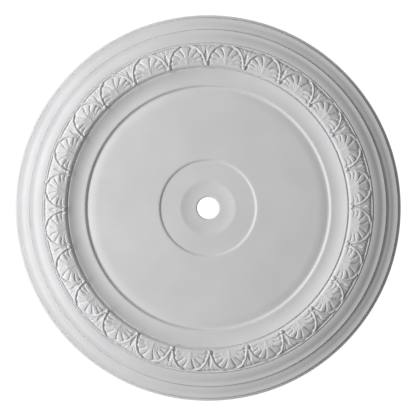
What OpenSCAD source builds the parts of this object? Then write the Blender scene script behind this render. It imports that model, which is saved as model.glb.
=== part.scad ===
// Ceiling rose: one moulded piece with a carved band of scallop shells.
// Millimetres. The flat back lies on the ceiling in the plane Z = 0, +Z points up into the
// ceiling and the moulded face hangs down. A "drop" is a distance below the plane Z = 0.
// The origin is the middle of the back, on the axis of the cable hole.

/* [Overall] */
// Outside diameter
outer_d = 1050; // [1000:10:1200]
// Drop of the flat ledge at the rim
rim_drop = 11.2; // [9:0.1:14]
// Drop of the broad flat field
field_drop = 16.2; // [14:0.1:18]

/* [Centre] */
// Diameter of the cable hole
hole_d = 60; // [30:1:66]
// Outside diameter of the flat ring that a lamp's canopy seats on
canopy_seat_d = 252; // [220:1:280]
// Inside diameter of that ring, where the dish begins
dish_d = 150; // [130:1:170]
// How far the dish sinks from the ring to the hole
dish_sink = 4.2; // [1:0.1:5]
// How far the ring lies behind the broad flat field
canopy_sink = 3.5; // [2:0.1:5]

/* [Mouldings] */
// Width of the flat ledge at the rim
rim_ledge_w = 7.4; // [5:0.1:9]
// Height of the small step outside each flat fillet
step_rise = 4.2; // [3:0.1:5]
// Width of the outer wave between two fillets
outer_wave_w = 27.6; // [22:0.1:30]
// Rise of the outer wave
outer_wave_rise = 4.8; // [3:0.1:6]
// Width of the wave between the outer one and the carved band
long_wave_w = 32.5; // [28:0.1:35]
// Rise of that wave
long_wave_rise = 6.4; // [5:0.1:8]
// Width of the cove between the flat field and the carved band
inner_cove_w = 39; // [34:1:44]
// Rise of that cove
inner_cove_rise = 10; // [6:0.1:12]
// Rise of the step around the flat field
field_step_rise = 4.7; // [3:0.1:6]

/* [Carved band] */
// Number of shells around the band
shell_count = 24; // [20:1:24]
// Width of one shell at its base
shell_w = 92; // [76:1:92]
// Height of one shell from its base to its middle lobe
shell_h = 56; // [50:1:56]
// Depth of the hollow beside each lobe of a shell
groove_depth = 1.8; // [0.5:0.1:2.5]
// Diameter of the bead between two shells
bead_d = 10; // [6:0.5:10]
// Width of the raised strand beside each shell
strand_w = 5; // [3:0.5:6]

/* [Back] */
// Width of the outer ring that lies on the ceiling
back_land_w = 40; // [20:5:60]
// Depth of the hollow between the two rings that lie on the ceiling
back_hollow = 3; // [1:0.5:5]

/* [Hidden] */

curve_steps = 10;        // straight pieces in one moulded curve
turn_fn = 180;           // sides of a turned circle

step_w = 0.6;            // width of a small step
rim_fillet_w = 4.5;
outer_fillet_w = 3.8;
band_fillet_w = 4.4;
rim_round = 1;           // size of the broken edge at the rim

// Radii from the rim inwards
rim_r = outer_d / 2;
ledge_r = rim_r - rim_ledge_w;
rim_fillet_r = ledge_r - step_w;
outer_wave_r = rim_fillet_r - rim_fillet_w;
outer_top_r = outer_wave_r - outer_wave_w;
outer_fillet_r = outer_top_r - step_w;
long_wave_r = outer_fillet_r - outer_fillet_w;
long_top_r = long_wave_r - long_wave_w;
band_fillet_r = long_top_r - step_w;
band_outer_r = band_fillet_r - band_fillet_w;
band_w = 62;
band_inner_r = band_outer_r - band_w;
quirk_w = 2.5;
inner_cove_top_r = band_inner_r - quirk_w;
inner_cove_r = inner_cove_top_r - inner_cove_w;
field_step_w = 7.5;      // width of the steep step around the field
field_edge_r = inner_cove_r - 13;
field_roll_w = 26;         // width over which the field rolls down to its edge
canopy_r = canopy_seat_d / 2;
canopy_step_w = 9;
dish_r = dish_d / 2;
hole_r = hole_d / 2;
hole_lip = 1.7;

// Drops from the rim inwards
rim_fillet_drop = rim_drop + step_rise;
outer_top_drop = rim_fillet_drop + outer_wave_rise;
outer_fillet_drop = outer_top_drop + step_rise;
long_top_drop = outer_fillet_drop + long_wave_rise;
band_foot_drop = long_top_drop + step_rise;
field_edge_drop = field_drop - 2;
inner_cove_drop = field_edge_drop + field_step_rise;
inner_cove_top_drop = inner_cove_drop + inner_cove_rise;
quirk_drop = inner_cove_top_drop - 2.3;
canopy_drop = field_drop - canopy_sink;
dish_drop = canopy_drop - dish_sink;

// The carved band: its ground, and over it the crown of the shells
shell_base_r = band_inner_r + 4;
shell_base_drop = inner_cove_top_drop + 5.3;
crown_y = 28;            // from the shells' base line out to the crown
crown_drop = shell_base_drop + 4.6;
crown_fall = 3.2;
ground_sink = 3.2;       // how far the ground lies behind the crown
core_drop = shell_base_drop - 9;

// A shell's grooves, from its middle lobe down to its base: the angle from the base line of each
// groove over most of its length, and the angle that it bends to at the shell's edge
groove_angles = [80, 59, 38, 24.5];
tip_angles = [74.5, 52, 30, 13.5];
base_angle = 0;
// The shell's rings, as shares of the way from the middle of the base to the edge
shell_rings = [0.3, 0.5, 0.75, 0.93, 1];
// How square the shell's arched outline is: 2 is an ellipse
arch_power = 2.3;

// A moulded curve from its foot to its top. Its slope grows evenly from nothing at the foot to
// its steepest at the share "turn" of the way, then falls evenly to "ease" times that at the top.
function moulded(foot_r, foot_drop, top_r, top_drop, turn, ease) =
    let (area = turn / 2 + (1 - turn) * (1 + ease) / 2, late = 2 * (1 - turn))
    [for (i = [0:curve_steps]) let (u = i / curve_steps, v = max(u - turn, 0),
            rise = u < turn ? u * u / (2 * turn) : turn / 2 + v - v * v * (1 - ease) / late)
        [foot_r + (top_r - foot_r) * u, foot_drop + (top_drop - foot_drop) * rise / area]];

function backwards(points) = [for (i = [len(points) - 1:-1:0]) points[i]];

// How far the arched outline lies from the middle of a shell's base, along the ray at angle a
function arch_reach(a) =
    pow(pow(abs(cos(a)) / (shell_w / 2), arch_power) + pow(abs(sin(a)) / shell_h, arch_power),
        -1 / arch_power);

// The crown of the shells over the base line: it climbs to its ridge and falls more gently beyond
function crown(y) =
    y < crown_y ? crown_drop - (crown_drop - shell_base_drop) * pow((crown_y - y) / crown_y, 2)
                : crown_drop - crown_fall * pow((y - crown_y) / (shell_h - crown_y), 1.5);

// The face's outline from the hole to the rim, as [radius, drop]
face_line = concat(
    [[hole_r, dish_drop - hole_lip], [hole_r + hole_lip, dish_drop]],
    moulded(hole_r + 2 * hole_lip, dish_drop, dish_r, canopy_drop, 0.92, 0.4),
    moulded(canopy_r + 1, canopy_drop, canopy_r + canopy_step_w, field_drop, 0.4, 0),
    backwards(moulded(field_edge_r, field_edge_drop, field_edge_r - field_roll_w, field_drop, 0.16, 0)),
    moulded(field_edge_r + 2, field_edge_drop, field_edge_r + 2 + field_step_w, inner_cove_drop, 0.45, 0),
    moulded(inner_cove_r + 1, inner_cove_drop, inner_cove_top_r, inner_cove_top_drop, 0.66, 0.95),
    [[inner_cove_top_r + quirk_w / 3, inner_cove_top_drop],
     [inner_cove_top_r + quirk_w * 2 / 3, quirk_drop]],
    [for (y = [-2, 4, 12, 20, crown_y, 34, 42, 50, shell_h - 2])
        [shell_base_r + y, crown(y) - ground_sink]],
    [[band_outer_r - 1.2, band_foot_drop - 3], [band_outer_r, band_foot_drop - 0.4],
     [band_outer_r + 0.7, band_foot_drop], [band_fillet_r, band_foot_drop]],
    backwards(moulded(long_wave_r, outer_fillet_drop, long_top_r, long_top_drop, 0.35, 0.05)),
    [[outer_fillet_r, outer_fillet_drop]],
    backwards(moulded(outer_wave_r, rim_fillet_drop, outer_top_r, outer_top_drop, 0.45, 0.05)),
    [[rim_fillet_r, rim_fillet_drop], [ledge_r, rim_drop],
     [rim_r - rim_round, rim_drop - rim_round / 2], [rim_r, rim_drop - rim_round * 1.5]],
    [[rim_r, 0]]);

// The back's outline from the rim to the hole: two rings on the ceiling and a hollow between
inner_land_r = canopy_r + canopy_step_w;
back_line = [
    [rim_r - back_land_w, 0],
    [rim_r - back_land_w - back_hollow, back_hollow],
    [inner_land_r + back_hollow, back_hollow],
    [inner_land_r, 0],
    [hole_r, 0]];

// A place on the band: x along it and y outwards from the shells' base line, bent round the rose
function on_band(x, y, drop) =
    let (a = x / (shell_base_r + crown_y) * 180 / PI, r = shell_base_r + y)
    [r * cos(a), r * sin(a), -drop];

// The rays of a shell's right half, from the middle of its top lobe down to the base line. Odd
// rays lie in the grooves and even ones along the middles of the lobes.
groove_count = len(groove_angles);
half_rays = 2 * groove_count + 1;
function bent_angle(k, s) = groove_angles[k] + (tip_angles[k] - groove_angles[k]) * pow(s, 3);
function ray_angle(i, s) =
    i == 0 ? 90 :
    i == half_rays ? base_angle :
    i % 2 == 1 ? bent_angle((i - 1) / 2, s) :
    i == half_rays - 1 ? (ray_angle(i - 1, s) + base_angle) / 2 :
    (ray_angle(i - 1, s) + ray_angle(i + 1, s)) / 2;

// A shell's surface on ray i at share s of the way to its edge: it sinks in the grooves, which
// deepen outwards, and rolls over at the edge
function shell_point(i, s, side) =
    let (a = ray_angle(i, s), groove = i % 2 == 1 && i < half_rays ? 1 : 0,
         reach = s * arch_reach(a) * (1 - 0.05 * groove * s),
         x = side * reach * cos(a), y = reach * sin(a))
    on_band(x, y, crown(y) - groove * groove_depth * s - (s == 1 ? 1.5 : 0));

// All rays of a shell from right to left, as [ray, side]
shell_rays = concat([for (i = [half_rays:-1:0]) [i, 1]], [for (i = [1:half_rays]) [i, -1]]);

module shell() {
    rays = len(shell_rays);
    rings = len(shell_rings);
    top = concat([on_band(0, 0, crown(0))],
        [for (s = shell_rings) for (ray = shell_rays) shell_point(ray[0], s, ray[1])]);
    floor_points = [for (ray = shell_rays)
        let (p = shell_point(ray[0], 1, ray[1])) [p[0], p[1], -core_drop]];
    floor_start = len(top);
    outer = 1 + (rings - 1) * rays;
    fan = [for (i = [0:rays - 2]) [0, 1 + i, 2 + i]];
    bands = [for (k = [0:rings - 2]) for (i = [0:rays - 2])
        let (a = 1 + k * rays + i, b = a + rays) each [[a, b, b + 1], [a, b + 1, a + 1]]];
    skirt = [for (i = [0:rays - 2])
        let (a = outer + i, b = floor_start + i) each [[a, b, b + 1], [a, b + 1, a + 1]]];
    // The front under the base line is a fan from the first floor point
    front_top = concat([for (k = [rings - 1:-1:0]) 1 + k * rays + rays - 1], [0],
                       [for (k = [0:rings - 1]) 1 + k * rays]);
    front = [for (i = [0:len(front_top) - 2]) [floor_start, front_top[i + 1], front_top[i]]];
    front_end = [[floor_start, outer + rays - 1, floor_start + rays - 1]];
    under = [for (i = [1:rays - 2]) [floor_start, floor_start + i + 1, floor_start + i]];
    faces = concat(fan, bands, skirt, front, front_end, under);
    polyhedron(points = concat(top, floor_points), faces = [for (f = faces) [f[0], f[2], f[1]]],
               convexity = 4);
}

// A ridge that hugs one side of a shell, thin at both ends; side is 1 or -1
module strand(side) {
    steps = 9;
    away = strand_w / 2 + 2;
    line = [for (i = [0:steps])
        let (a = 20 + 54 * i / steps, reach = arch_reach(a) + away)
        [side * reach * cos(a), reach * sin(a), 0.4 + 0.6 * sin(180 * i / steps)]];
    points = [for (i = [0:steps])
        let (p = line[i], q = line[min(i + 1, steps)], o = line[max(i - 1, 0)],
             along = [q[0] - o[0], q[1] - o[1]], across = [along[1], -along[0]] / norm(along),
             w = strand_w / 2 * p[2], top_drop = crown(p[1]) - ground_sink + 2.4 * p[2])
        each [on_band(p[0] - w * across[0], p[1] - w * across[1], core_drop),
              on_band(p[0] + w * across[0], p[1] + w * across[1], core_drop),
              on_band(p[0], p[1], top_drop)]];
    walls = [for (i = [0:steps - 1]) for (k = [0:2])
        let (a = 3 * i + k, b = 3 * i + (k + 1) % 3) each [[a, b, b + 3], [a, b + 3, a + 3]]];
    ends = [[0, 2, 1], [3 * steps, 3 * steps + 1, 3 * steps + 2]];
    faces = concat(walls, ends);
    polyhedron(points = points, faces = side > 0 ? faces : [for (f = faces) [f[0], f[2], f[1]]],
               convexity = 4);
}

module bead() {
    translate([shell_base_r + bead_d / 2, 0, -crown(bead_d / 2)])
        sphere(d = bead_d, $fn = 32);
}

module carved_band() {
    pitch = 360 / shell_count;
    for (i = [0:shell_count - 1])
        rotate(i * pitch) {
            rotate(pitch / 2) {
                shell();
                strand(1);
                strand(-1);
            }
            bead();
        }
}

module turned_body() {
    line = concat(face_line, back_line);
    rotate_extrude($fn = turn_fn)
        polygon([for (p = line) [p[0], -p[1]]]);
}

module ceiling_rose() {
    color("gainsboro")
        union() {
            turned_body();
            carved_band();
        }
}

ceiling_rose();
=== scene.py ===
"""Ceiling rose: a round moulded ceiling piece with a carved band of scallop shells.

The part hangs face down from the plane Z = 0, with +Z up into the ceiling. Sizes in the
functions are millimetres; a "drop" is a distance below the ceiling plane. The plain mouldings
are one turned piece, and the carved band is four runs of six shells that lie in a trench in it.
"""

import math

import bpy
import numpy as np
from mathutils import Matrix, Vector


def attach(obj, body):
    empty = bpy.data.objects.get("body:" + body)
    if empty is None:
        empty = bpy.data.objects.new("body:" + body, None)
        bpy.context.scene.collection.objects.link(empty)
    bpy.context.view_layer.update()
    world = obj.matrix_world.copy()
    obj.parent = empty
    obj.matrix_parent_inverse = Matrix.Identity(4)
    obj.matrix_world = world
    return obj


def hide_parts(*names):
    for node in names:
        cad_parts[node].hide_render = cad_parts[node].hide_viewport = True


bl_info = {
    "name": "Ceiling rose",
    "version": (1, 0, 0),
    "blender": (4, 5, 0),
    "location": "3D View > Sidebar > Ceiling Rose",
    "description": "Builds a moulded ceiling rose with a carved band of scallop shells",
    "category": "Add Mesh",
}

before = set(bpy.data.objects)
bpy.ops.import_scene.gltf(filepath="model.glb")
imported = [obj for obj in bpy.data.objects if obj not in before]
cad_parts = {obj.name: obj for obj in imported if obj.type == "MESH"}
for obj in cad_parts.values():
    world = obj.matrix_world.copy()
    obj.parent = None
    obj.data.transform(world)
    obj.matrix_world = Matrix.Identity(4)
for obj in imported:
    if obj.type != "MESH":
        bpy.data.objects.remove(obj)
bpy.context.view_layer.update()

MM = 0.001
NODE = "ceiling_rose"

REFERENCE_R = 413.7  # radius at which widths along the band are measured
SHELL_BASE_R = 385.0  # radius of the middle of a shell's base
BAND_INNER_R = 380.5  # edges of the carved band, in the grooves on its two sides
BAND_OUTER_R = 442.8
SHELLS_IN_RUN = 6
RUNS = 4
PITCH = 2 * math.pi / (RUNS * SHELLS_IN_RUN)  # angle from one shell to the next


# ---------------------------------------------------------------- sizes and colours


class RoseSizes(bpy.types.PropertyGroup):
    arris: bpy.props.FloatProperty(
        name="Arris softness",
        description="How far the paint rounds the sharp edges of the mouldings",
        default=0.00045, min=0.0001, max=0.002, precision=5, subtype="DISTANCE", unit="LENGTH")
    turned_steps: bpy.props.IntProperty(
        name="Steps around", description="Steps around the turned body",
        default=384, min=96, max=480)
    line_steps: bpy.props.IntProperty(
        name="Steps along the outline", description="Points along the outline of the turned body",
        default=192, min=120, max=200)
    shell_steps: bpy.props.IntProperty(
        name="Steps along a shell", description="Steps along the band from one bead to the next",
        default=132, min=40, max=140)
    band_steps: bpy.props.IntProperty(
        name="Steps across the band", description="Steps across the carved band",
        default=90, min=30, max=96)
    groove: bpy.props.FloatProperty(
        name="Lobe groove", description="Depth of the grooves between a shell's lobes",
        default=0.0048, min=0.0, max=0.006, precision=4, subtype="DISTANCE", unit="LENGTH")
    flute: bpy.props.FloatProperty(
        name="Flute", description="Depth of the fine flutes round a shell's boss",
        default=0.0012, min=0.0, max=0.002, precision=4, subtype="DISTANCE", unit="LENGTH")
    ground: bpy.props.FloatProperty(
        name="Ground", description="How far the ground of the band lies behind its crown",
        default=0.0040, min=0.001, max=0.005, precision=4, subtype="DISTANCE", unit="LENGTH")
    strand_w: bpy.props.FloatProperty(
        name="Strand width", description="Width of the strand that hugs each side of a shell",
        default=0.0070, min=0.002, max=0.008, precision=4, subtype="DISTANCE", unit="LENGTH")
    bead_d: bpy.props.FloatProperty(
        name="Bead diameter", description="Diameter of the bead between two shells",
        default=0.0114, min=0.004, max=0.012, precision=4, subtype="DISTANCE", unit="LENGTH")


class RoseFinish(bpy.types.PropertyGroup):
    paint: bpy.props.FloatVectorProperty(
        name="Paint", description="Colour of the factory primer on the face",
        default=(0.848, 0.848, 0.860), size=3, min=0.0, max=1.0, subtype="COLOR")
    foam: bpy.props.FloatVectorProperty(
        name="Foam", description="Colour of the unpainted skin on the back",
        default=(0.66, 0.60, 0.47), size=3, min=0.0, max=1.0, subtype="COLOR")
    grain: bpy.props.FloatProperty(
        name="Paint grain", description="Depth of the paint's fine grain",
        default=0.00006, min=0.0, max=0.0005, precision=5, subtype="DISTANCE", unit="LENGTH")


# ---------------------------------------------------------------- curves


def eased(x, low, high):
    """0 below low, 1 above high, and an even S between them."""
    t = np.clip((x - low) / (high - low), 0.0, 1.0)
    return t * t * (3.0 - 2.0 * t)


def rounded(x):
    """A quarter circle: 0 at x = 0, upright there, and 1 and level from x = 1 on."""
    t = 1.0 - np.clip(x, 0.0, 1.0)
    return np.sqrt(1.0 - t * t)


def higher(a, b, blend):
    """The larger of a and b, with the crease between them rounded over about blend."""
    return 0.5 * (a + b + np.sqrt((a - b) ** 2 + blend * blend) - blend)


def lower(a, b, blend):
    """The smaller of a and b, with the crease between them rounded over about blend."""
    return -higher(-a, -b, blend)


def through(x, knots):
    """A smooth curve through the knots (place, value), going straight on past both ends."""
    xs, ys = np.array(knots, float).T
    slopes = np.gradient(ys, xs)
    i = np.clip(np.searchsorted(xs, x) - 1, 0, len(xs) - 2)
    step = xs[i + 1] - xs[i]
    t = np.clip((x - xs[i]) / step, 0.0, 1.0)
    value = (
        (2 * t**3 - 3 * t**2 + 1) * ys[i] + (t**3 - 2 * t**2 + t) * step * slopes[i]
        + (3 * t**2 - 2 * t**3) * ys[i + 1] + (t**3 - t**2) * step * slopes[i + 1])
    beyond = np.minimum(x - xs[0], 0.0) * slopes[0] + np.maximum(x - xs[-1], 0.0) * slopes[-1]
    return value + beyond


def moulded(foot, top, turn, ease, steps=40):
    """A moulded curve from its foot to its top, each (radius, drop). Its slope grows evenly from
    nothing at the foot to its steepest at the share turn of the width, then falls evenly to ease
    times that at the top."""
    u = np.linspace(0.0, 1.0, steps + 1)
    v = np.maximum(u - turn, 0.0)
    late = turn / 2 + v - v * v * (1 - ease) / (2 * (1 - turn))
    rise = np.where(u < turn, u * u / (2 * turn), late)
    area = turn / 2 + (1 - turn) * (1 + ease) / 2
    radius = foot[0] + (top[0] - foot[0]) * u
    drop = foot[1] + (top[1] - foot[1]) * rise / area
    return np.stack([radius, drop], 1)


# ---------------------------------------------------------------- the turned body

HOLE_R, RIM_R = 30.0, 525.0
# Drops of the level parts of the face, from the hole outwards: the bottom of the dish, the ring
# that a canopy seats on, the broad field, the line the field rolls back to at its edge, the top
# of the step around that, the top of the cove and the bottom of the trench for the band
DISH_DROP, RING_DROP, FIELD_DROP, FIELD_EDGE_DROP = 8.5, 12.7, 16.2, 13.4
COVE_FOOT_DROP, COVE_TOP_DROP, TRENCH_DROP = 18.9, 28.9, 23.8
# Drops of the flat fillets outside the band, and of the foot of the small step outside each
BAND_FILLET_DROP, BAND_STEP_DROP = 32.8, 30.8
OUTER_FILLET_DROP, OUTER_STEP_DROP = 24.4, 20.2
RIM_FILLET_DROP, RIM_STEP_DROP = 15.4, 11.2
QUIRK = 2.6  # depth of the fine cut at the foot of each of those steps
BACK_HOLLOW = 3.0  # depth of the hollow in the back


def body_outline():
    """The closed outline of the turned body as (radius, drop): straight lines and moulded curves
    along the face from the hole to the rim, with a trench for the carved band and a fine cut at
    the foot of each small step, then the back from the rim to the hole."""
    return np.concatenate([
        [(HOLE_R, 5.8), (31.0, 7.6), (33.0, DISH_DROP)],
        moulded((35.5, DISH_DROP), (75.0, RING_DROP), 0.92, 0.4),
        moulded((127.0, RING_DROP), (135.0, FIELD_DROP), 0.4, 0.0),
        moulded((326.5, FIELD_EDGE_DROP), (300.5, FIELD_DROP), 0.12, 0.0)[::-1],
        moulded((328.5, FIELD_EDGE_DROP), (336.0, COVE_FOOT_DROP), 0.45, 0.0),
        moulded((340.5, COVE_FOOT_DROP), (378.5, COVE_TOP_DROP), 0.88, 0.97),
        [(379.2, COVE_TOP_DROP - 0.3), (379.9, TRENCH_DROP), (440.5, TRENCH_DROP),
         (442.6, 30.0), (443.3, 32.2), (444.0, BAND_FILLET_DROP), (446.6, BAND_FILLET_DROP),
         (447.3, BAND_FILLET_DROP - 0.6), (447.5, BAND_STEP_DROP - QUIRK),
         (448.3, BAND_STEP_DROP - QUIRK)],
        moulded((479.3, OUTER_FILLET_DROP), (448.9, BAND_STEP_DROP), 0.34, 0.05)[::-1],
        [(484.1, OUTER_FILLET_DROP), (484.3, OUTER_STEP_DROP - QUIRK),
         (485.4, OUTER_STEP_DROP - QUIRK)],
        moulded((511.5, RIM_FILLET_DROP), (485.8, OUTER_STEP_DROP), 0.43, 0.05)[::-1],
        [(517.1, RIM_FILLET_DROP), (517.3, RIM_STEP_DROP - QUIRK),
         (518.6, RIM_STEP_DROP - QUIRK), (519.2, RIM_STEP_DROP), (524.0, RIM_STEP_DROP - 0.5),
         (RIM_R, RIM_STEP_DROP - 1.5)],
        [(RIM_R, 0.0), (485.0, 0.0), (482.0, BACK_HOLLOW), (141.0, BACK_HOLLOW), (138.0, 0.0),
         (HOLE_R, 0.0)],
    ])


def softened(outline, width, step=0.1):
    """The closed outline walked in even steps, every point averaged with its neighbours by a
    bell curve of that width, so that each arris has a small even round."""
    loop = np.concatenate([outline, outline[:1]])
    along = np.concatenate([[0.0], np.cumsum(np.linalg.norm(np.diff(loop, axis=0), axis=1))])
    count = int(along[-1] / step)
    at = np.arange(count) * along[-1] / count
    points = np.stack([np.interp(at, along, loop[:, k]) for k in range(2)], 1)
    reach = max(1, int(4 * width / step))
    share = np.exp(-0.5 * (np.arange(-reach, reach + 1) * step / width) ** 2)
    share /= share.sum()
    wrapped = np.concatenate([points[-reach:], points, points[:reach]])
    return np.stack([np.convolve(wrapped[:, k], share, "valid") for k in range(2)], 1)


# How the rows of the turned body are spread along its outline: a row is due for every so much
# turning in radians or every so many steps along, and the back and the trench get a share of it
ROW_TURN, ROW_STEPS, HIDDEN_SHARE = 0.20, 45.0, 0.15


def spread_rows(points, count):
    """Picks count places along the closed outline, close together where it turns and sparse
    where it runs straight, on the back and in the hidden trench. Returns points and the normals
    that point into the piece."""
    ahead, behind = np.roll(points, -1, 0), np.roll(points, 1, 0)
    tangent = ahead - behind
    tangent /= np.linalg.norm(tangent, axis=1)[:, None]
    heading = np.unwrap(np.arctan2(tangent[:, 1], tangent[:, 0]))
    turning = np.abs(np.gradient(heading))
    r, drop = points.T
    back = drop < BACK_HOLLOW + 0.3
    trench = (r > 383.0) & (r < 442.0) & (drop < 30.0)
    need = np.where(back | trench, HIDDEN_SHARE, 1.0) * (turning / ROW_TURN + 1.0 / ROW_STEPS)
    total = np.concatenate([[0.0], np.cumsum(need)])
    places = np.arange(count) * total[-1] / count
    index = np.searchsorted(total, places, "right") - 1
    return points[index], np.stack([tangent[index, 1], -tangent[index, 0]], 1)


def turned_surface(sizes):
    """The outline swung round the axis: at angle a the point (r, drop) goes to
    (r cos a, r sin a, -drop). Returns points, faces and normals."""
    line, inwards = spread_rows(softened(body_outline(), sizes.arris / MM), sizes.line_steps)
    rows, columns = len(line), sizes.turned_steps
    a = np.arange(columns) * 2 * math.pi / columns
    cos, sin = np.cos(a)[:, None], np.sin(a)[:, None]
    points = np.stack([cos * line[:, 0], sin * line[:, 0], np.ones_like(cos) * -line[:, 1]], 2)
    out = -inwards
    normals = np.stack([cos * out[:, 0], sin * out[:, 0], np.ones_like(cos) * -out[:, 1]], 2)
    i, k = np.meshgrid(np.arange(columns), np.arange(rows), indexing="ij")
    j, m = (i + 1) % columns, (k + 1) % rows
    faces = np.stack([i * rows + k, j * rows + k, j * rows + m, i * rows + m], 2).reshape(-1, 4)
    return points.reshape(-1, 3), faces.tolist(), normals.reshape(-1, 3)


# ---------------------------------------------------------------- the carved band

# Drop of the band's crown by the distance y out from the base line of the shells: first the
# foot and the long inner slope, then from the arris at ARRIS_Y an even fall outwards
INNER_SLOPE = ((-4.6, 24.4), (-3, 25.2), (-1.5, 28.0), (0.4, 32.4), (2.5, 34.4), (6, 35.9),
               (12, 37.4), (18, 38.8), (24, 40.2), (28, 41.1))
ARRIS_Y, ARRIS_DROP = 28.0, 40.7
OUTER_FALL, OUTER_BOW = 0.17, 0.0012  # slope of that fall at the arris, and its bow
ARRIS_BLEND, CARVING_BLEND, LEAF_BLEND = 0.25, 0.12, 0.15  # how far creases are rounded over
EDGE_DROP = 31.0  # least drop of the ground outside the arris
EDGE_SINK, EDGE_SINK_Y = 2.2, (56.0, 57.6)  # how far the band sinks at its outer edge, and where
BURIED_DROP = 22.8  # drop of the band's own back, inside the turned body

# A shell is an arch: the power to which its sides bulge, and how fast its lobes end there
SHELL_HALF_W, SHELL_H, ARCH_POWER = 45.4, 55.8, 2.3
TIP_ROUND, TIP_SCALLOP, SIDE_SHORTER = 0.11, 0.085, 0.02
LOBE_CUP = 0.9  # depth of the hollow in a side lobe beside the boss
SIDE_SINK = 0.3  # how far the side lobes lie behind the middle one
# Angles above the base line of the grooves between the lobes, along most of their length and
# where they bend over at the tips
GROOVE_ANGLES = (90.0, 80.5, 59.0, 38.0, 24.5, 0.0)
TIP_ANGLES = (90.0, 70.0, 48.5, 28.0, 12.5, -4.0)
# Depth of those grooves on the left and right of a shell, as shares of the groove size
GROOVE_SHARES_LEFT = (0.0, 1.1, 0.9, 1.1, 0.8, 0.8)
GROOVE_SHARES_RIGHT = (0.0, 0.8, 1.1, 0.85, 0.8, 0.8)

BOSS_HALF_W, BOSS_H, BOSS_POWER = 27.5, 32.0, 2.4
BOSS_ROUND = 0.25  # share of the boss that its rounded rim takes
BOSS_SINK = 0.7  # how far the boss lies behind the crown
FLUTE_PITCH, FLUTE_START = 19.5, 7.75  # angles of the flutes round the boss, in degrees

# The crest of a strand, as places (x, y) beside the shell
STRAND = ((11, 59.2), (16, 57.8), (22, 55), (30, 50.5), (37, 43), (42.6, 35), (46.3, 27),
          (48.7, 20.5), (50.2, 16.0), (51.8, 13.4))
STEM_X = PITCH / 2 * REFERENCE_R  # x of the stem, half way from one shell to the next

# The two rounded tips of a leaf: how far its middle is from the stem, its y, and its half width
LEAF_TIPS = ((6.6, 54.8, 6.2), (16.6, 54.3, 4.6))
TIP_FALL = 2.6  # how far a tip falls from its middle to its side
NOTCH_DEPTH = 1.3  # between the two tips
LENS_DEPTH = 5.2  # at the foot of the hollow up the middle of the dart
SLIT_DEPTH = 0.25  # above that hollow

BEAD_Y = 5.8
BEAD_PROUD = 3.6  # how far the bead stands proud of the crown
BEAD_CUT = 2.0  # depth of the fine cut round the bead


def crown(y):
    """Drop of the crown of the band: the inner slope cut at a crisp arris by the outer fall, a
    straight slope and a little of the square of the distance from the arris."""
    out = y - ARRIS_Y
    fall = ARRIS_DROP - OUTER_FALL * out - OUTER_BOW * out * np.abs(out)
    return lower(through(y, INNER_SLOPE), fall, ARRIS_BLEND)


def band_ground(y, sizes):
    """Drop of the ground between the carvings. It leaves the crown at the foot of the slope, lies
    evenly behind it from there on, and has a drop of at least EDGE_DROP outside the arris."""
    sunk = crown(y) - sizes.ground / MM * eased(y, -2.0, 9.0)
    return np.where(y > ARRIS_Y + 2, np.maximum(sunk, EDGE_DROP), sunk)


def arch_share(x, y, half_w, height, power):
    """How far out a point is in an arch: the power root of the sum of its two shares to that
    power, which is 0 at the middle of the arch's base and 1 on its edge."""
    return ((np.abs(x) / half_w) ** power + (y / height) ** power) ** (1 / power)


def lobe_place(x, y, share):
    """Where a point lies across its lobe: the lobe's number from the middle, and 0 on the lobe's
    crest to 1 in the groove beside it. The edges of the lobes bend from the groove angles to the
    tip angles with the cube of share, the way out to the shell's edge."""
    angle = np.degrees(np.arctan2(y, np.abs(x)))
    bend = np.clip(share, 0, 1.1) ** 3
    edges = [g + (t - g) * bend for g, t in zip(GROOVE_ANGLES, TIP_ANGLES)]
    number = sum(np.clip((a - angle) / (a - b), 0, 1) for a, b in zip(edges[:-1], edges[1:]))
    across = np.abs(2 * (number % 1.0) - 1)
    return number, np.where(number < 1, number, across)


def shell(x, y, sizes):
    """Drop of a shell: full lobes that fan out from the middle of its base, with a V groove
    between each two. A groove deepens outwards, and its depth dies away over the lobe beside it
    by a high power of the place across. Each side lobe is cupped beside the boss, and every lobe
    is rounded over at its own tip."""
    top, ground = crown(y), band_ground(y, sizes)
    up = np.maximum(y, 0.0)
    share = arch_share(x, up, SHELL_HALF_W, SHELL_H, ARCH_POWER)
    reach = np.hypot(x, up)
    number, across = lobe_place(x, up, share)
    cupped = LOBE_CUP * (1 - eased(reach, 27, 46)) * eased(number, 1.0, 2.0) * eased(y, 2, 14)
    knots = np.arange(len(GROOVE_ANGLES))
    depth = np.where(x < 0, np.interp(number, knots, GROOVE_SHARES_LEFT),
                     np.interp(number, knots, GROOVE_SHARES_RIGHT))
    groove = sizes.groove / MM * depth * eased(reach, 10, 46) * across**4.5
    side_sink = SIDE_SINK * eased(number, 0.9, 1.3)
    height = top - side_sink - cupped - groove * eased(y, 1, 8)
    beside = eased(number, 0.8, 1.3) * eased(-number, -2.6, -1.6)
    end = 1.0 - TIP_SCALLOP * across**2.2 - SIDE_SHORTER * beside
    return ground + (height - ground) * rounded((end - share) / TIP_ROUND)


def boss(x, y, sizes):
    """Drop of the boss: a raised half disc at the middle of the shell's base with fine flutes
    round its rim, cut off straight by the arris."""
    top, ground = crown(y), band_ground(y, sizes)
    up = np.maximum(y, 0.0)
    share = arch_share(x, up, BOSS_HALF_W, BOSS_H, BOSS_POWER)
    angle = np.degrees(np.arctan2(up, np.abs(x)))
    across = np.abs(2 * (((angle - FLUTE_START) / FLUTE_PITCH) % 1.0) - 1)
    flute = sizes.flute / MM * eased(share, 0.15, 0.6) * across**2.2 * eased(y, 0, 4)
    body = ground + (top - BOSS_SINK - flute - ground) * rounded((1 - share) / BOSS_ROUND)
    return np.where(y < ARRIS_Y + 1, body, ground)


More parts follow.
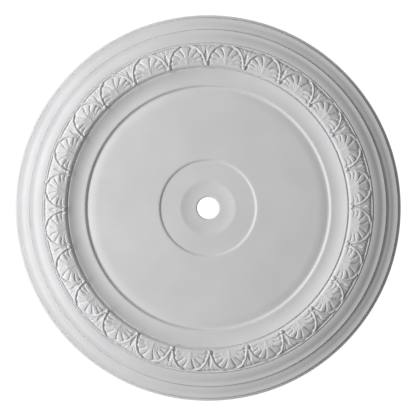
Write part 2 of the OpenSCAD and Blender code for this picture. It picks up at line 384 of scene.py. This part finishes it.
def path_distance(x, y, path, steps=60):
    """Distance of every point from a smooth path, as the least distance from its short straight
    steps, with the share of the way along it and the side: positive away from the shell."""
    places = np.arange(len(path))
    at = np.linspace(0, len(path) - 1, steps)
    px = through(at, list(zip(places, [p[0] for p in path])))
    py = through(at, list(zip(places, [p[1] for p in path])))
    best = np.full(x.shape, np.inf)
    share, side = np.zeros(x.shape), np.zeros(x.shape)
    for k in range(steps - 1):
        dx, dy = px[k + 1] - px[k], py[k + 1] - py[k]
        t = np.clip(((x - px[k]) * dx + (y - py[k]) * dy) / (dx * dx + dy * dy), 0, 1)
        away_x, away_y = x - px[k] - t * dx, y - py[k] - t * dy
        distance = np.hypot(away_x, away_y)
        nearer = distance < best
        best = np.where(nearer, distance, best)
        share = np.where(nearer, (k + t) / (steps - 1), share)
        side = np.where(nearer, np.sign(away_y * dx - away_x * dy), side)
    return best, share, side


def strand(y, distance, share, sizes):
    """Drop of the round strand beside the shell: half a round bar along its path, thinner at
    both ends, that stands ever prouder of the crown from its foot outwards."""
    top, ground = crown(y), band_ground(y, sizes)
    thinner = (0.62 + 0.38 * eased(share, 0.0, 0.25)) * (1 - 0.18 * eased(share, 0.6, 1))
    half = sizes.strand_w / MM / 2 * thinner
    crest = top + 0.1 + 0.9 * eased(y, 25, 50)
    return ground + (crest - ground) * np.sqrt(np.clip(1 - (distance / half) ** 2, 0, 1))


def dart(x, y, distance, side, sizes):
    """Drop of the dart between two strands: a leaf with two rounded tips on each side and a notch
    between them, a lens-shaped hollow up the middle, and a faint slit above that."""
    top, ground = crown(y), band_ground(y, sizes)
    w = np.maximum(STEM_X - x, 0.0)
    tips = [tip_y - TIP_FALL * (np.abs(w - middle) / half) ** 2.4
            for middle, tip_y, half in LEAF_TIPS]
    notch_w = 12.2 * np.clip((y - 20) / 34, 0, 1) ** 0.9
    notch = NOTCH_DEPTH * np.exp(-(np.abs(w - notch_w) / 1.1) ** 1.5) * eased(y, 36, 52)
    lens_t = np.clip((y - 14.5) / 33.0, 0, 1)
    swell = np.sin(math.pi * lens_t**0.72) ** 0.7
    filled = np.clip(1 - (w / (0.2 + 5.6 * swell)) ** 3, 0, 1)
    lens = (LENS_DEPTH - 1.6 * lens_t) * swell * filled
    slit = SLIT_DEPTH * np.exp(-(w / 0.8) ** 1.5) * eased(y, 40, 46)
    leaf_top = top - 0.9 + 0.6 * eased(y, 35, 50) - notch - lens - slit
    leaf_edge = rounded((distance - 1.9) / 2.0) * (side > 0)
    return ground + (leaf_top - ground) * leaf_edge * rounded((np.maximum(*tips) - y) / 3.0)


def bead(x, y, sizes):
    """Drop of the round bead at the foot of the stem: the near half of a ball, and 0 round it."""
    radius = sizes.bead_d / MM / 2
    out2 = (STEM_X - np.abs(x)) ** 2 + (y - BEAD_Y) ** 2
    centre = crown(np.array(BEAD_Y)) + BEAD_PROUD - radius
    ball = np.sqrt(np.clip(radius * radius - out2, 0, None))
    return np.where(ball > 0, centre + ball, 0.0)


def band_relief(x, y, sizes):
    """Drop of the carved band at x along it from a shell's middle and y out from its base: the
    proudest of the shell, boss, strand and dart, with a fine cut round the bead, then the bead,
    and the whole sunk at the outer edge."""
    beside = np.abs(x)
    distance, share, side = path_distance(beside, y, STRAND)
    leaf = dart(beside, y, distance, side, sizes)
    stem = higher(strand(y, distance, share, sizes), leaf, LEAF_BLEND)
    carved = higher(shell(x, y, sizes), boss(x, y, sizes), CARVING_BLEND)
    carved = higher(carved, stem, CARVING_BLEND)
    away = np.hypot(STEM_X - beside, y - BEAD_Y) - sizes.bead_d / MM / 2
    carved = carved - BEAD_CUT * np.exp(-(((away - 0.3) / 0.8) ** 2))
    carved = higher(carved, bead(x, y, sizes), CARVING_BLEND)
    return carved - EDGE_SINK * eased(y, *EDGE_SINK_Y)


def band_point(angle, r, sizes):
    """The point of the band's surface at an angle in radians and a radius in millimetres."""
    x = (angle % PITCH - PITCH / 2) * REFERENCE_R
    drop = band_relief(x, r - SHELL_BASE_R, sizes)
    return np.stack([r * np.cos(angle), r * np.sin(angle), -drop], -1)


def band_surface(run, sizes):
    """One run of shells. Its face is the point (r cos a, r sin a, -relief) for a evenly spaced
    round the run and r evenly across the band; normals come from points a little to each side.
    Walls at both edges and a back inside the turned body close it."""
    columns = SHELLS_IN_RUN * sizes.shell_steps + 1
    rows = sizes.band_steps + 1
    arc = 2 * math.pi / RUNS
    a = (run + np.linspace(0, 1, columns)) * arc
    r = np.linspace(BAND_INNER_R, BAND_OUTER_R, rows)
    angle, radius = np.meshgrid(a, r, indexing="ij")
    face = band_point(angle, radius, sizes)
    near = 0.3  # millimetres to each side
    turn = near / REFERENCE_R
    along = band_point(angle + turn, radius, sizes) - band_point(angle - turn, radius, sizes)
    across = band_point(angle, radius + near, sizes) - band_point(angle, radius - near, sizes)
    normals = np.cross(along, across)
    normals *= -np.sign(normals[..., 2:])
    normals /= np.linalg.norm(normals, axis=2)[..., None]
    buried = np.full(columns, -BURIED_DROP)
    inner = np.stack([r[0] * np.cos(a), r[0] * np.sin(a), buried], 1)
    outer = np.stack([r[-1] * np.cos(a), r[-1] * np.sin(a), buried], 1)
    points = np.concatenate([face.reshape(-1, 3), inner, outer])
    up = np.zeros((2 * columns, 3))
    up[:, 2] = 1.0
    normals = np.concatenate([normals.reshape(-1, 3), up])
    i, k = np.meshgrid(np.arange(columns - 1), np.arange(rows - 1), indexing="ij")
    corner = i * rows + k
    grid = np.stack([corner, corner + rows, corner + rows + 1, corner + 1], 2)
    c = np.arange(columns - 1)
    first_in, first_out = columns * rows, columns * rows + columns
    inner_edge, outer_edge = c * rows, c * rows + rows - 1
    inner_wall = np.stack([inner_edge + rows, inner_edge, first_in + c, first_in + c + 1], 1)
    outer_wall = np.stack([outer_edge, outer_edge + rows, first_out + c + 1, first_out + c], 1)
    back = np.stack([first_in + c, first_out + c, first_out + c + 1, first_in + c + 1], 1)
    quads = np.concatenate([grid.reshape(-1, 4), inner_wall, outer_wall, back])
    start = [first_out, first_in] + list(range(rows))
    end = [first_in + columns - 1, first_out + columns - 1] + [
        (columns - 1) * rows + q for q in range(rows - 1, -1, -1)]
    return points, quads.tolist() + [start, end], normals


# ---------------------------------------------------------------- materials

# Metres on the piece: what lies above BACK_Z between these two radii is the unpainted back, and
# the edge of the paint strays by about PAINT_STRAY
BACK_Z, BACK_INNER_R, BACK_OUTER_R = -0.0045, 0.0325, 0.523
PAINT_STRAY = 0.004


def moulding_material(finish):
    """Factory primer on foam: a matt white with a faint cloudiness, specks, fine grain and soft
    sheen, and on the back, told by height and radius, the bare foam skin with its pores, which
    are pitted by the bump and darkened by painted shade."""
    mat = bpy.data.materials.new("rose_finish")
    mat.use_nodes = True
    nodes, links = mat.node_tree.nodes, mat.node_tree.links
    nodes.clear()
    out = nodes.new("ShaderNodeOutputMaterial")
    surface = nodes.new("ShaderNodeBsdfPrincipled")
    links.new(surface.outputs["BSDF"], out.inputs["Surface"])
    place = nodes.new("ShaderNodeTexCoord").outputs["Object"]

    def noise(scale, detail, roughness=0.55):
        node = nodes.new("ShaderNodeTexNoise")
        node.inputs["Scale"].default_value = scale
        node.inputs["Detail"].default_value = detail
        node.inputs["Roughness"].default_value = roughness
        links.new(place, node.inputs["Vector"])
        return node.outputs["Fac"]

    def ranged(value, low, high, to_low, to_high):
        node = nodes.new("ShaderNodeMapRange")
        links.new(value, node.inputs["Value"])
        limits = {"From Min": low, "From Max": high, "To Min": to_low, "To Max": to_high}
        for key, number in limits.items():
            node.inputs[key].default_value = number
        return node.outputs["Result"]

    def maths(kind, a, b):
        node = nodes.new("ShaderNodeMath")
        node.operation = kind
        for socket, value in zip(node.inputs, (a, b)):
            if isinstance(value, (int, float)):
                socket.default_value = value
            else:
                links.new(value, socket)
        return node.outputs["Value"]

    def mixed(factor, a, b):
        node = nodes.new("ShaderNodeMix")
        node.data_type = "RGBA"
        links.new(factor, node.inputs[0])
        for socket, value in ((node.inputs[6], a), (node.inputs[7], b)):
            if isinstance(value, tuple):
                socket.default_value = value
            else:
                links.new(value, socket)
        return node.outputs[2]

    def shade(colour, times):
        return (*(min(1, times * c) for c in colour), 1)

    # The paint: broad faint clouds, then specks
    cloud = ranged(noise(7.0, 3.0), 0.35, 0.65, 0.0, 1.0)
    painted = mixed(cloud, shade(finish.paint, 0.965), shade(finish.paint, 1.02))
    speckle = ranged(noise(420.0, 2.0), 0.62, 0.80, 0.0, 0.12)
    painted = mixed(speckle, painted, shade(finish.paint, 0.78))

    # The foam's skin: blotches, then pores, darkened by painted shade in the pits
    blotch = ranged(noise(16.0, 5.0, 0.65), 0.3, 0.7, 0.0, 1.0)
    skin = mixed(blotch, shade(finish.foam, 0.86), shade(finish.foam, 1))
    pores = nodes.new("ShaderNodeTexVoronoi")
    pores.inputs["Scale"].default_value = 260.0
    links.new(place, pores.inputs["Vector"])
    pore_pit_and_painted_shade = ranged(pores.outputs["Distance"], 0.05, 0.32, 0.0, 1.0)
    # Painted shade: the pores get a darker copy of the foam colour, standing in for the shadow
    # inside the pits
    skin = mixed(pore_pit_and_painted_shade, shade(finish.foam, 0.62), skin)

    # Where the back is: 1 on it and 0 on the painted face and rim
    apart = nodes.new("ShaderNodeSeparateXYZ")
    links.new(place, apart.inputs["Vector"])
    flat = nodes.new("ShaderNodeCombineXYZ")
    links.new(apart.outputs["X"], flat.inputs["X"])
    links.new(apart.outputs["Y"], flat.inputs["Y"])
    length = nodes.new("ShaderNodeVectorMath")
    length.operation = "LENGTH"
    links.new(flat.outputs["Vector"], length.inputs[0])
    ragged = maths("MULTIPLY", maths("SUBTRACT", noise(90.0, 3.0), 0.5), PAINT_STRAY)
    radius = maths("ADD", length.outputs["Value"], ragged)
    behind = maths("GREATER_THAN", apart.outputs["Z"], BACK_Z)
    within = maths("LESS_THAN", radius, BACK_OUTER_R)
    outside = maths("GREATER_THAN", radius, BACK_INNER_R)
    back = maths("MULTIPLY", behind, maths("MULTIPLY", within, outside))

    links.new(mixed(back, painted, skin), surface.inputs["Base Color"])
    rough = ranged(noise(60.0, 2.0), 0.3, 0.7, 0.52, 0.62)
    links.new(maths("ADD", rough, maths("MULTIPLY", back, 0.3)), surface.inputs["Roughness"])
    surface.inputs["Specular IOR Level"].default_value = 0.35

    grain = nodes.new("ShaderNodeBump")
    grain.inputs["Strength"].default_value = 1.0
    grain.inputs["Distance"].default_value = finish.grain
    fine = maths("ADD", noise(900.0, 2.0), maths("MULTIPLY", noise(160.0, 2.0), 1.5))
    pitted = maths("MULTIPLY", maths("MULTIPLY", pore_pit_and_painted_shade, back), 4.0)
    links.new(maths("ADD", fine, pitted), grain.inputs["Height"])
    links.new(grain.outputs["Normal"], surface.inputs["Normal"])
    return mat


def get_material(finish):
    """The one material that every piece of the rose shares, made when it is first asked for."""
    return bpy.data.materials.get("rose_finish") or moulding_material(finish)


def finished_piece(name, points, faces, normals, finish):
    """Makes the mesh object in metres, smooth with the given normals, riding on the part."""
    mesh = bpy.data.meshes.new(name)
    mesh.from_pydata((points * MM).tolist(), [], faces)
    mesh.polygons.foreach_set("use_smooth", np.ones(len(mesh.polygons), bool))
    mesh.update()
    mesh.normals_split_custom_set_from_vertices(normals.tolist())
    mesh.materials.append(get_material(finish))
    piece = bpy.data.objects.new(name, mesh)
    bpy.context.scene.collection.objects.link(piece)
    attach(piece, "root")
    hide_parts(NODE)


# ---------------------------------------------------------------- the stage

# Metres, watts, and millimetres of lens
CAMERA_DISTANCE = 4.259  # from the ceiling plane
LENS, SENSOR_W = 135.0, 36.0
IMAGE_TURN = 0.65  # degrees that the image is turned about its middle

KEY_PLACE = (-3.0, -0.26, -1.93)
KEY_AIM = (0, 0, -0.03)
KEY_LENGTH, KEY_HEIGHT, KEY_POWER = 5.0, 0.35, 138.0
FRONT_PLACE, FRONT_WIDTH, FRONT_POWER = (0, 0, -3.0), 1.6, 3.2
ABOVE_PLACE, ABOVE_WIDTH, ABOVE_POWER = (-1.5, -2.0, 4.0), 3.0, 170.0
AMBIENT, BACKGROUND = 0.115, 1.05

FLOOR_R, FLOOR_Z, FLOOR_SIDES = 3.0, -4.9, 96


def plain_material(name, colour, roughness):
    """A plain painted surface for the stage."""
    mat = bpy.data.materials.new(name)
    mat.use_nodes = True
    surface = mat.node_tree.nodes["Principled BSDF"]
    surface.inputs["Base Color"].default_value = (*colour, 1)
    surface.inputs["Roughness"].default_value = roughness
    return mat


def studio_floor():
    """A pale round floor below the camera: evenly spaced points of a circle, as one face."""
    a = np.arange(FLOOR_SIDES) * 2 * math.pi / FLOOR_SIDES
    ring = np.stack([FLOOR_R * np.cos(a), FLOOR_R * np.sin(a), np.full(FLOOR_SIDES, FLOOR_Z)], 1)
    mesh = bpy.data.meshes.new("studio_floor")
    mesh.from_pydata(ring.tolist(), [], [list(range(FLOOR_SIDES))])
    mesh.materials.append(plain_material("studio_floor", (0.8, 0.8, 0.8), 0.9))
    floor = bpy.data.objects.new("studio_floor", mesh)
    floor.visible_shadow = False
    bpy.context.scene.collection.objects.link(floor)


def lamp(name, place, aim, **settings):
    """A soft lamp at place, turned to shine at aim, that the camera doesn't see."""
    data = bpy.data.lights.new(name, "AREA")
    for key, value in settings.items():
        setattr(data, key, value)
    light = bpy.data.objects.new(name, data)
    light.location = place
    light.rotation_mode = "QUATERNION"
    light.rotation_quaternion = (Vector(place) - Vector(aim)).to_track_quat("Z", "Y")
    light.visible_camera = False
    bpy.context.scene.collection.objects.link(light)


def studio_lights():
    """A long low strip at one side as the key, a faint soft disk in front of the face, and a wide
    soft lamp above the back."""
    lamp("key", KEY_PLACE, KEY_AIM, energy=KEY_POWER, shape="RECTANGLE",
         size=KEY_LENGTH, size_y=KEY_HEIGHT)
    for name, place, width, power in (
            ("front", FRONT_PLACE, FRONT_WIDTH, FRONT_POWER),
            ("above", ABOVE_PLACE, ABOVE_WIDTH, ABOVE_POWER)):
        lamp(name, place, (0, 0, 0), energy=power, shape="DISK", size=width)


def studio_world():
    """White to the camera, and only a dim even light on the part."""
    world = bpy.data.worlds.new("studio")
    world.use_nodes = True
    nodes, links = world.node_tree.nodes, world.node_tree.links
    nodes.clear()
    out = nodes.new("ShaderNodeOutputWorld")
    seen, dim = nodes.new("ShaderNodeBackground"), nodes.new("ShaderNodeBackground")
    for node, strength in ((seen, BACKGROUND), (dim, AMBIENT)):
        node.inputs["Color"].default_value = (1, 1, 1, 1)
        node.inputs["Strength"].default_value = strength
    ray, mix = nodes.new("ShaderNodeLightPath"), nodes.new("ShaderNodeMixShader")
    links.new(ray.outputs["Is Camera Ray"], mix.inputs[0])
    links.new(dim.outputs[0], mix.inputs[1])
    links.new(seen.outputs[0], mix.inputs[2])
    links.new(mix.outputs[0], out.inputs["Surface"])
    bpy.context.scene.world = world


def studio_camera():
    """The camera below the rose on its axis, looking straight up at the face."""
    data = bpy.data.cameras.new("camera")
    data.lens = LENS
    data.sensor_width = SENSOR_W
    camera = bpy.data.objects.new("camera", data)
    camera.location = (0.0, 0.0, -CAMERA_DISTANCE)
    # Half a turn about X looks along +Z, with the image's right along +X and its up along -Y
    camera.rotation_euler = (math.pi, 0.0, math.radians(IMAGE_TURN))
    bpy.context.scene.collection.objects.link(camera)
    bpy.context.scene.camera = camera


# ---------------------------------------------------------------- operators and panel


class MESH_OT_rose_body(bpy.types.Operator):
    """Make the turned body: the plain mouldings, the cable hole and the back"""

    bl_idname = "mesh.rose_body"
    bl_label = "Turned Body"

    def execute(self, context):
        scene = context.scene
        finished_piece("turned_body", *turned_surface(scene.rose_sizes), scene.rose_finish)
        return {"FINISHED"}


class MESH_OT_rose_shells(bpy.types.Operator):
    """Make the carved band as four runs of scallop shells, strands, darts and beads"""

    bl_idname = "mesh.rose_shells"
    bl_label = "Carved Band"

    def execute(self, context):
        scene = context.scene
        for run in range(RUNS):
            surface = band_surface(run, scene.rose_sizes)
            finished_piece(f"shell_band_{run + 1}", *surface, scene.rose_finish)
        return {"FINISHED"}


class SCENE_OT_rose_stage(bpy.types.Operator):
    """Set up the floor, the lamps, the background and the camera"""

    bl_idname = "scene.rose_stage"
    bl_label = "Stage"

    def execute(self, context):
        studio_floor()
        studio_lights()
        studio_world()
        studio_camera()
        context.scene.view_settings.view_transform = "Standard"
        return {"FINISHED"}


class VIEW3D_PT_rose(bpy.types.Panel):
    """The sizes, the colours and the pieces of the rose"""

    bl_label = "Ceiling Rose"
    bl_space_type = "VIEW_3D"
    bl_region_type = "UI"
    bl_category = "Ceiling Rose"

    def draw(self, context):
        layout = self.layout
        for group in (context.scene.rose_sizes, context.scene.rose_finish):
            for key in group.__annotations__:
                layout.prop(group, key)
        for operator in OPERATORS:
            layout.operator(operator.bl_idname)


OPERATORS = (MESH_OT_rose_body, MESH_OT_rose_shells, SCENE_OT_rose_stage)
CLASSES = (RoseSizes, RoseFinish, *OPERATORS, VIEW3D_PT_rose)


def register():
    for cls in CLASSES:
        bpy.utils.register_class(cls)
    bpy.types.Scene.rose_sizes = bpy.props.PointerProperty(type=RoseSizes)
    bpy.types.Scene.rose_finish = bpy.props.PointerProperty(type=RoseFinish)


def unregister():
    del bpy.types.Scene.rose_finish
    del bpy.types.Scene.rose_sizes
    for cls in reversed(CLASSES):
        bpy.utils.unregister_class(cls)


def main():
    register()
    bpy.ops.mesh.rose_body()
    bpy.ops.mesh.rose_shells()
    bpy.ops.scene.rose_stage()


if __name__ == "__main__":
    main()
